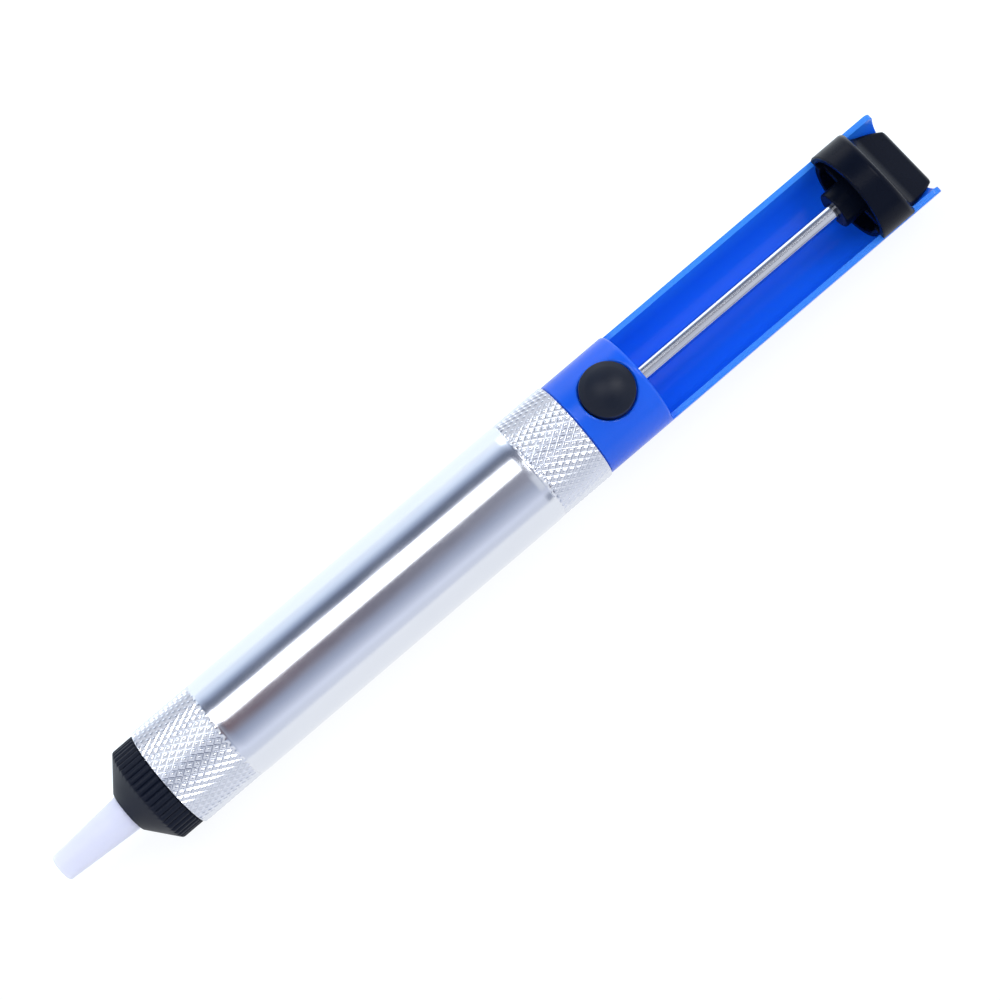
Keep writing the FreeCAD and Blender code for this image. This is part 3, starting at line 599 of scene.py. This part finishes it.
# the bare tube rises from the band's radius in a soft shoulder
SHOULDER = 1.5
ring(F_END - 0.1, K_RAD)
for du in (0.0, 0.15, 0.3, 0.5, 0.7, 0.9, 1.1, 1.3, 1.5):
    ring(F_END + du, S_RAD - 0.1 * (1 - du / SHOULDER) ** 2)
for u in np.linspace(F_END + 3, R_START - 3, 9):
    ring(u, S_RAD)
for du in (1.5, 1.3, 1.1, 0.9, 0.7, 0.5, 0.3, 0.15, 0.0):
    ring(R_START - du, S_RAD - 0.1 * (1 - du / SHOULDER) ** 2)
ring(R_START + 0.1, K_RAD)
r0 = R_START + 0.15
n_rear = int((BARREL1 - 0.205 - r0) / dk)
for j in range(n_rear + 1):
    u = r0 + j * dk
    run_in = step(u, R_START + 0.15, R_START + 0.75)
    r = np.minimum(K_RAD - knurl_depth(u, TH, r0) * run_in, 9.55 + (BARREL1 - u) * 1.0)
    ring(u, r, j)
ring(BARREL1 - 0.06, 9.48)
ring(BARREL1, 9.35)
ring(BARREL1, BORE + 0.25)
ring(BARREL1 - 0.25, BORE)
for u in np.linspace(BARREL1 - 12, BARREL0 + 12, 6):
    ring(u, BORE)

bv = np.concatenate([
    np.column_stack((np.full(N_BAR, u), r * np.sin(TH), r * np.cos(TH))) for u, r in zip(ring_u, ring_r)])
bf = []
R = len(ring_u)
for i in range(R):
    j = (i + 1) % R
    ki, kj = knurl_row[i], knurl_row[j]
    patterned = ki is not None and kj is not None and j > i
    for k in range(N_BAR):
        q = (k + 1) % N_BAR
        a, b, c, d = i * N_BAR + k, i * N_BAR + q, j * N_BAR + q, j * N_BAR + k
        if patterned:
            if (k - ki) % PER == 0:
                bf += [(a, b, c), (a, c, d)]
            elif (k + ki + 1) % PER == 0:
                bf += [(a, b, d), (b, c, d)]
            elif min((k - ki) % PER, PER - (k - ki) % PER) < min((k + ki + 1) % PER, PER - (k + ki + 1) % PER):
                bf += [(a, b, c), (a, c, d)]
            else:
                bf += [(a, b, d), (b, c, d)]
        else:
            bf.append((a, b, c, d))
bf = facing_out(bv, bf)
barrel = new_mesh("barrel_tube", bv, bf, M_BARREL, "barrel", ["barrel"], sharp=24)
barrel.data.materials.append(M_KNURL)
fu = np.array([bv[list(f), 0].mean() for f in bf])
fr = np.array([np.hypot(bv[list(f), 1], bv[list(f), 2]).mean() for f in bf])
is_knurl = ((fu < F_END - 0.1) | (fu > R_START + 0.1)) & (fr > 9.3)
barrel.data.polygons.foreach_set("material_index", is_knurl.astype(np.int32))

# ------------------------------------------------------------------ nose cap
RIBS = 48
SKIRT0, SKIRT1, CAP_R = 19.35, BARREL0 - 0.05, 9.5
cap_line = rounded([
    (CAP0, 3.53, 0.10), (CAP0, 4.12, 0.32), (SKIRT0 - 0.1, CAP_R - 0.02, 0.55),
    (SKIRT1, CAP_R, 0.16), (SKIRT1, 8.45, 0.0), (25.2, 8.45, 0.05), (25.2, 7.4, 0.0), (26.5, 7.4, 0.0),
    (26.5, 8.45, 0.05), (SPIGOT1, 8.45, 0.25), (SPIGOT1, 6.9, 0.12), (22.0, 6.9, 0.0), (22.0, 6.2, 0.0),
    (20.5, 6.2, 0.0), (20.5, 5.22, 0.0), (17.5, 5.22, 0.0), (17.5, 3.53, 0.0),
], 6)
# more rings along the cone and the skirt, so that the flutes fade in smoothly
dense = []
for i, p in enumerate(cap_line):
    dense.append(p)
    q = cap_line[(i + 1) % len(cap_line)]
    if p[1] > 3.6 and q[1] > 3.6 and p[0] <= SKIRT1 + 0.01 and q[0] <= SKIRT1 + 0.01 and q[0] > p[0] + 0.3:
        n = int((q[0] - p[0]) / 0.16)
        dense += [(p[0] + (q[0] - p[0]) * t / n, p[1] + (q[1] - p[1]) * t / n) for t in range(1, n)]


def flutes(u, r, th):
    if u > SKIRT1 + 0.02 or r[0] < 8.0:
        return r
    w = th * RIBS / (2 * math.pi)
    d = np.abs(w - np.round(w)) * 2               # 0 in the groove, 1 on the rib
    groove = 1 - np.sin(np.pi / 2 * np.clip(d * 1.15, 0, 1)) ** 0.8
    return r - 0.36 * groove * step(np.full_like(r, u), 18.6, 19.9)


cv, cf = lathe(dense, RIBS * 12, flutes)
cf = facing_out(cv, cf)
cap = new_mesh("nose_cap_shell", cv, cf, M_CAP, "nose", ["nose_cap"], normals=None, sharp=38)

# ------------------------------------------------------------------ nozzle
tip_line = rounded([
    (0.0, 1.5, 0.12), (0.0, 2.53, 0.42), (CAP0, 3.5, 0.0), (17.5, 3.5, 0.0), (17.5, 5.2, 0.15),
    (20.5, 5.2, 0.15), (20.5, 4.6, 0.1), (17.2, 1.5, 0.0),
], 6)
dense = []
for i, p in enumerate(tip_line):
    dense.append(p)
    q = tip_line[(i + 1) % len(tip_line)]
    if abs(q[0] - p[0]) > 2:
        n = int(abs(q[0] - p[0]) / 0.8)
        dense += [(p[0] + (q[0] - p[0]) * t / n, p[1] + (q[1] - p[1]) * t / n) for t in range(1, n)]
nv, nf = lathe(dense, 144)
nf = facing_out(nv, nf)
new_mesh("nozzle_tip", nv, nf, M_PTFE, "nose", ["nozzle"], sharp=40)


# ------------------------------------------------------------------ housing
COLLAR1 = 129.62


def housing(u, y, k):
    r = np.hypot(y, k)
    tip = np.where(u > 186.0, both(k, u - HOUSING1, 1.6), k)     # rounded corners at the open end
    rim = np.maximum(8.5 - r, tip)
    inner = either(u - COLLAR1, rim, 0.35)
    edge = 0.24 + 0.46 * step(k, 0.3, 2.2)
    f = np.minimum(-edge, np.maximum(r - 9.6, inner)) + np.hypot(
        np.maximum(edge + r - 9.6, 0), np.maximum(edge + inner, 0))
    f = both(f, u - HOUSING1, 0.28)
    f = both(f, BARREL1 + 0.02 - u, 0.22)
    spigot = np.maximum(both(r - 8.45, HOUSING0 - u, 0.35), u - BARREL1 - 0.5)
    f = np.minimum(f, spigot)
    rp = np.hypot(u - BUTTON, y)
    f = both(f, -np.maximum(rp - 5.15, 5.2 - k), 0.32)
    slot = np.maximum(np.maximum(np.abs(u - BUTTON) - 0.65, np.abs(y) - 3.75), np.maximum(k - 5.4, -7.9 - k))
    f = np.maximum(f, -slot)
    hole = np.minimum(r - 1.7, np.maximum(r - 3.0, u - 114.9))
    return both(f, -hole, 0.14)


gu = grid_line((107.2, 0.3), (115.0, 0.13), (116.3, 0.3), (128.0, 0.15), (130.6, 0.7), (191.0, 0.2), (191.8, 0.1), (192.5, 0.1))
gy = grid_line((-9.9, 0.2), (-8.2, 0.28), (8.2, 0.2), (9.9, 0.2))
gk = grid_line((-9.9, 0.24), (-0.7, 0.09), (0.3, 0.25), (8.2, 0.18), (9.9, 0.18))
hv, hf, hn = skin(housing, gu, gy, gk)
new_mesh("housing_shell", hv, hf, M_BLUE, "barrel", ["rear_housing"], normals=hn)


# ------------------------------------------------------------------ knob
def knob(u, y, k):
    r = np.hypot(y, k)
    upper = both(r - 9.6, 0.12 - k, 0.3)
    f = either(upper, r - 8.3, 0.1)
    f = both(f, u - KNOB1, 0.6)
    f = both(f, 178.32 - u, 0.22)
    face = ((u - 183.4) * 9.7 + (k - 9.6) * 2.55) / 10.03
    seat = ((u - 186.8) * 4.0 + (k + 0.9) * 6.6) / 7.718
    f = both(f, either(face, seat, 1.6), 1.0)
    hollow = np.minimum(np.maximum(r - 8.4, 0.6 - k), np.maximum(r - 7.1, k + 0.6))
    hollow = np.minimum(np.maximum(hollow, u - 182.22), np.maximum(r - 7.1, u - 179.32))
    f = both(f, -hollow, 0.18)
    boss = np.maximum(both(r - 3.6, BOSS0 - u, 0.3), u - 183.0)
    f = either(f, boss, 0.15)
    hole = np.maximum(r - 1.51, u - 184.24)
    return both(f, -hole, 0.12)


ku = grid_line((175.0, 0.17), (193.7, 0.17))
ky = grid_line((-9.9, 0.18), (9.9, 0.18))
kk = grid_line((-8.6, 0.18), (-0.8, 0.12), (0.6, 0.18), (9.9, 0.18))
kv, kf, kn = skin(knob, ku, ky, kk)
new_mesh("knob_body", kv, kf, M_KNOB, "plunger", ["knob"], normals=kn)

# ------------------------------------------------------------------ button
dome = []
rad, low = 4.95, 9.9
top = BUTTON_TOP
sphere = (rad ** 2 + (top - low) ** 2) / (2 * (top - low))
for i in range(0, 19):
    a = math.asin((rad - 0.12) / sphere) * (18 - i) / 18
    dome.append((sphere * math.sin(a), top - sphere + sphere * math.cos(a)))
dome = list(reversed(dome))                       # from the top to the edge
at_rim = math.sqrt(sphere ** 2 - (rad - 1.2) ** 2) + top - sphere
edge = rounded([(rad - 1.2, at_rim, 0), (rad, low, 0.45), (rad, BUTTON_LOW, 0.12),
                (3.9, BUTTON_LOW, 0.1), (3.9, 9.7, 0.2), (1.9, 9.7, 0.2), (1.9, BUTTON_LOW, 0.1)], 5)[1:]
line = [(k, r) for r, k in dome if r < rad - 1.0] + [(k, r) for r, k in edge] + [(BUTTON_LOW, 0.0)]
pv, pf = pole_lathe(line, 96)
# the outline was turned about the u axis: stand it up on the button's axis
pv = np.column_stack((BUTTON + pv[:, 1], pv[:, 2], pv[:, 0]))
pf = facing_out(pv - pv.mean(0), pf)
new_mesh("button_dome", pv, pf, M_BUTTON, "button", ["button_cap"], normals=area_normals(pv, pf))

# ------------------------------------------------------------------ rod
G = 1.2
rod_line = [(ROD0, 0.0), (ROD0, 1.3), (ROD0 + 0.2, 1.5), (91.48, 1.5), (91.49, G), (92.0, G), (92.01, 1.5),
            (106.29, 1.5), (106.3, G), (106.81, G), (106.82, 1.5)]
rod_line += [(u, 1.5) for u in np.arange(112, 166, 3)]
rod_line += [(166.6, 1.5), (166.74, 1.5), (166.76, 1.5), (167.4, 1.5), (168.15, 1.5), (168.3, 1.5), (168.5, 1.5),
             (168.7, 1.5), (168.9, 1.5), (172, 1.5), (178, 1.5), (ROD1 - 0.3, 1.5), (ROD1, 1.2), (ROD1, 0.0)]
rv, rf = pole_lathe(rod_line, 96)
floor_k = np.where((rv[:, 0] > 166.75) & (rv[:, 0] < 168.85),
                   np.where(rv[:, 0] <= 168.15, -0.95, -0.95 - (rv[:, 0] - 168.15) * 1.0), -9.0)
rv[:, 2] = np.maximum(rv[:, 2], floor_k)
rf = facing_out(rv, rf)
new_mesh("rod_bar", rv, rf, M_ROD, "plunger", ["plunger_rod"], sharp=35)


# ------------------------------------------------------------------ springs
def coil(name, mat, body, stands_for, start, end, radius, wire, turns, dead, axis_u):
    """A spring with closed ends. It lies along u, or stands on the button's axis."""
    per, sec = 40, 10
    total = turns + 2 * dead
    n = int(total * per)
    t = np.linspace(0, total, n + 1)
    span = end - start - 2 * wire
    shut = 2 * wire * 1.02
    # slow rise over the dead coils at each end, even pitch between them
    rise = np.interp(t, [0, dead, dead + turns, total], [0, shut * dead, span - shut * dead, span])
    a = 2 * math.pi * t
    c = np.column_stack((start + wire + rise, radius * np.sin(a), radius * np.cos(a)))
    if axis_u is not None:
        c = np.column_stack((axis_u + c[:, 1], c[:, 2], c[:, 0]))
        axis = np.array([0, 0, 1.0])
        centre = np.column_stack((np.full(n + 1, axis_u), np.zeros(n + 1), c[:, 2]))
    else:
        axis = np.array([1.0, 0, 0])
        centre = np.column_stack((c[:, 0], np.zeros(n + 1), np.zeros(n + 1)))
    out = c - centre
    out /= np.linalg.norm(out, axis=1, keepdims=True)
    verts = []
    for s in range(sec):
        f = 2 * math.pi * s / sec
        verts.append(c + out * (wire * math.cos(f)) + axis * (wire * math.sin(f)))
    verts = np.stack(verts, 1).reshape(-1, 3)
    faces = []
    for i in range(n):
        for s in range(sec):
            q = (s + 1) % sec
            faces.append((i * sec + s, i * sec + q, (i + 1) * sec + q, (i + 1) * sec + s))
    m = len(verts)
    verts = np.vstack((verts, c[0], c[-1]))
    for s in range(sec):
        q = (s + 1) % sec
        faces.append((m, q, s))
        faces.append((m + 1, n * sec + s, n * sec + q))
    ob = new_mesh(name, verts, faces, mat, body, stands_for, sharp=40)
    if axis_u is None:
        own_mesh(ob)
    else:
        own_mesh(ob)
    return ob


SEAT1 = u_of(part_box("spring_seat_washer")[1].x)
WASHER0 = u_of(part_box("piston_washer")[0].x)
coil("main_coil", M_WIRE, "barrel", ["main_spring"], SEAT1, WASHER0, 6.7, 0.5, 10, 1.0,
     None)
coil("button_coil", M_WIRE, "barrel", ["button_spring"], 5.2, 9.7, 2.9, 0.25, 2.5, 0.75,
     BUTTON)

# ------------------------------------------------------------------ CAD pieces kept
for name, mat in (
    ("rod_guide_bush", M_BRASS), ("buffer_ring", M_RUBBER), ("nozzle_retainer", M_PLATE),
    ("nose_seal_ring", M_RUBBER), ("spring_seat_washer", M_PLATE), ("cleaning_pin", M_ROD),
    ("piston", M_POM), ("piston_seal_ring", M_RUBBER), ("piston_washer", M_PLATE),
    ("piston_clips", M_PLATE), ("latch_plate", M_PLATE),
    ("barrel", M_BARREL), ("rear_housing", M_BLUE), ("nose_cap", M_CAP), ("nozzle", M_PTFE),
    ("plunger_rod", M_ROD), ("knob", M_KNOB), ("button_cap", M_BUTTON), ("main_spring", M_WIRE),
    ("button_spring", M_WIRE),
):
    ob = nodes[name]
    if not ob.material_slots:
        ob.data.materials.append(mat)
    for s in ob.material_slots:
        s.link = "OBJECT"
        s.material = mat

# ------------------------------------------------------------------ floor
fm, ft, fb = material("floor_white")
fn = noise(ft, (6, 6, 6), 1.0, 2.0)
fc = mixed(ft, fn, "Fac", (0.115, 0.117, 0.12), (0.125, 0.126, 0.128))
ft.links.new(fc.outputs[2], fb.inputs["Base Color"])
fb.inputs["Roughness"].default_value = 0.9
fb.inputs["Specular IOR Level"].default_value = 0.1
# painted light: the floor's glow is a little brighter and bluer on the +Y side
fplace = ft.nodes.new("ShaderNodeTexCoord")
faxes = ft.nodes.new("ShaderNodeSeparateXYZ")
link(ft, fplace, "Object", faxes, "Vector")
fside = ranged(ft, faxes, "Y", 0.0, 1.0, -0.004, 0.004)
fglow = mixed(ft, fside, "Result", (0.892, 0.906, 0.92), (1.04, 1.13, 1.19))
ft.links.new(fglow.outputs[2], fb.inputs["Emission Color"])
fb.inputs["Emission Strength"].default_value = 1.0
fmesh = bpy.data.meshes.new("floor")
s = 3.0
fmesh.from_pydata([(-s, -s, 0), (s, -s, 0), (s, s, 0), (-s, s, 0)], [], [(0, 1, 2, 3)])
fmesh.materials.append(fm)
floor = bpy.data.objects.new("floor", fmesh)
bpy.context.scene.collection.objects.link(floor)

# ------------------------------------------------------------------ light
# A studio round the tool: the light depends on the angle about the tool's axis,
# measured from straight up towards +Y. A long soft box stands beside the view,
# with dark gaps on both sides of it, and the walls are pale.
world = bpy.data.worlds.new("studio")
bpy.context.scene.world = world
world.use_nodes = True
wt = world.node_tree
wt.nodes.clear()
wc = wt.nodes.new("ShaderNodeTexCoord")
ws = wt.nodes.new("ShaderNodeSeparateXYZ")
wt.links.new(wc.outputs["Generated"], ws.inputs[0])
wa = node(wt, "ShaderNodeMath", operation="ARCTAN2")
wt.links.new(ws.outputs["Y"], wa.inputs[0])
wt.links.new(ws.outputs["Z"], wa.inputs[1])
lean = wt.nodes.new("ShaderNodeMapRange")
for key, v in (("From Min", -0.25), ("From Max", 0.25), ("To Min", -0.105), ("To Max", 0.105)):
    lean.inputs[key].default_value = v
wt.links.new(ws.outputs["X"], lean.inputs["Value"])
wl = wt.nodes.new("ShaderNodeMath")
wl.operation = "ADD"
wt.links.new(wa.outputs[0], wl.inputs[0])
wt.links.new(lean.outputs[0], wl.inputs[1])
wr = wt.nodes.new("ShaderNodeMapRange")
wr.inputs["From Min"].default_value = -math.pi / 2
wr.inputs["From Max"].default_value = math.pi / 2
wt.links.new(wl.outputs[0], wr.inputs["Value"])
ramp = wt.nodes.new("ShaderNodeValToRGB")
ramp.color_ramp.interpolation = "LINEAR"
SOFTBOX = 4.2
STOPS = [
    (-90, (0.80, 0.84, 0.94)), (-78, (0.80, 0.84, 0.96)), (-69, (0.90, 0.95, 1.09)), (-58, (0.65, 0.69, 0.83)),
    (-45, (0.45, 0.50, 0.64)), (-33, (0.34, 0.37, 0.48)), (-22, (0.33, 0.34, 0.42)), (-12, (0.34, 0.35, 0.42)),
    (-3, (0.36, 0.37, 0.44)), (4, (0.42, 0.43, 0.48)), (34, (0.20, 0.22, 0.30)), (39, (0.15, 0.175, 0.25)),
    (50, (0.15, 0.175, 0.25)), (59, (0.42, 0.50, 0.68)), (71, (0.84, 0.96, 1.14)), (90, (1.06, 1.13, 1.23)),
]
els = ramp.color_ramp.elements
while len(els) > 1:
    els.remove(els[-1])
for i, (deg, col) in enumerate(STOPS):
    e = els[0] if i == 0 else els.new((deg + 90) / 180)
    e.position = (deg + 90) / 180
    e.color = (*col, 1)
wt.links.new(wr.outputs["Result"], ramp.inputs["Fac"])


def window(src, out, a, b, c, d):
    """1 between b and c, fading to 0 at a and d."""
    parts = []
    for x0, x1, y0, y1 in ((a, b, 0, 1), (c, d, 1, 0)):
        r = wt.nodes.new("ShaderNodeMapRange")
        r.interpolation_type = "SMOOTHSTEP"
        r.inputs["From Min"].default_value = x0
        r.inputs["From Max"].default_value = x1
        r.inputs["To Min"].default_value = y0
        r.inputs["To Max"].default_value = y1
        wt.links.new(src.outputs[out], r.inputs["Value"])
        parts.append(r)
    m = wt.nodes.new("ShaderNodeMath")
    m.operation = "MULTIPLY"
    wt.links.new(parts[0].outputs[0], m.inputs[0])
    wt.links.new(parts[1].outputs[0], m.inputs[1])
    return m


ends = wt.nodes.new("ShaderNodeMapRange")
ends.interpolation_type = "SMOOTHSTEP"
for key, v in (("From Min", 0.22), ("From Max", 0.62), ("To Min", 0.0), ("To Max", 0.85)):
    ends.inputs[key].default_value = v
size_x = wt.nodes.new("ShaderNodeMath")
size_x.operation = "ABSOLUTE"
wt.links.new(ws.outputs["X"], size_x.inputs[0])
wt.links.new(size_x.outputs[0], ends.inputs["Value"])
wall = wt.nodes.new("ShaderNodeMix")
wall.data_type = "RGBA"
wt.links.new(ends.outputs[0], wall.inputs[0])
wt.links.new(ramp.outputs["Color"], wall.inputs[6])
wall.inputs[7].default_value = (0.95, 0.98, 1.05, 1)

rad_of = math.radians
# a dark shape behind the camera, brownish towards the nozzle's side
shape_y = window(wl, 0, rad_of(-36), rad_of(-17), rad_of(-1), rad_of(4))
shape_x = window(ws, "X", -0.40, -0.20, 0.0, 0.09)
shape = wt.nodes.new("ShaderNodeMath")
shape.operation = "MULTIPLY"
wt.links.new(shape_y.outputs[0], shape.inputs[0])
wt.links.new(shape_x.outputs[0], shape.inputs[1])
tone_x = window(ws, "X", -0.30, -0.12, -0.075, -0.03)
tone = wt.nodes.new("ShaderNodeMix")
tone.data_type = "RGBA"
wt.links.new(tone_x.outputs[0], tone.inputs[0])
tone.inputs[6].default_value = (0.160, 0.162, 0.215, 1)
tone.inputs[7].default_value = (0.235, 0.160, 0.175, 1)
dark = wt.nodes.new("ShaderNodeMix")
dark.data_type = "RGBA"
wt.links.new(shape.outputs[0], dark.inputs[0])
wt.links.new(wall.outputs[2], dark.inputs[6])
wt.links.new(tone.outputs[2], dark.inputs[7])
across_box = window(wl, 0, rad_of(-1), rad_of(4), rad_of(27), rad_of(33))
along_box = window(ws, "X", -0.45, -0.16, 0.085, 0.125)
box = wt.nodes.new("ShaderNodeMath")
box.operation = "MULTIPLY"
wt.links.new(across_box.outputs[0], box.inputs[0])
wt.links.new(along_box.outputs[0], box.inputs[1])
wm = wt.nodes.new("ShaderNodeMix")
wm.data_type = "RGBA"
wt.links.new(box.outputs[0], wm.inputs[0])
wt.links.new(dark.outputs[2], wm.inputs[6])
wm.inputs[7].default_value = (SOFTBOX, SOFTBOX * 1.01, SOFTBOX * 1.03, 1)


def panel(below, y_window, x_window, colour):
    """A soft-edged panel over the studio so far."""
    area = wt.nodes.new("ShaderNodeMath")
    area.operation = "MULTIPLY"
    wt.links.new(y_window.outputs[0], area.inputs[0])
    wt.links.new(x_window.outputs[0], area.inputs[1])
    m = wt.nodes.new("ShaderNodeMix")
    m.data_type = "RGBA"
    wt.links.new(area.outputs[0], m.inputs[0])
    wt.links.new(below.outputs[2], m.inputs[6])
    m.inputs[7].default_value = (*colour, 1)
    return m


# towards the knob: a low dark wall with a paler one above it on one side, a
# bright strip low on the other, and a small box overhead
last = panel(wm, window(wl, 0, rad_of(-130), rad_of(-120), rad_of(-74), rad_of(-62)),
             window(ws, "X", 0.12, 0.18, 0.32, 0.44), (0.30, 0.33, 0.42))
last = panel(last, window(wl, 0, rad_of(70), rad_of(77), rad_of(96), rad_of(100)),
             window(ws, "X", 0.125, 0.16, 0.40, 0.55), (2.4, 2.45, 2.5))
last = panel(last, window(wl, 0, rad_of(-60), rad_of(-50), rad_of(-24), rad_of(-8)),
             window(ws, "X", 0.13, 0.18, 0.50, 0.70), (0.80, 0.83, 0.90))
last = panel(last, window(wa, 0, rad_of(-14), rad_of(-9), rad_of(8), rad_of(13)),
             window(ws, "X", 0.31, 0.36, 0.60, 0.68), (8.0, 8.1, 8.2))
bg = node(wt, "ShaderNodeBackground", Strength=1.0)
wt.links.new(last.outputs[2], bg.inputs["Color"])
wo = wt.nodes.new("ShaderNodeOutputWorld")
wt.links.new(bg.outputs[0], wo.inputs["Surface"])
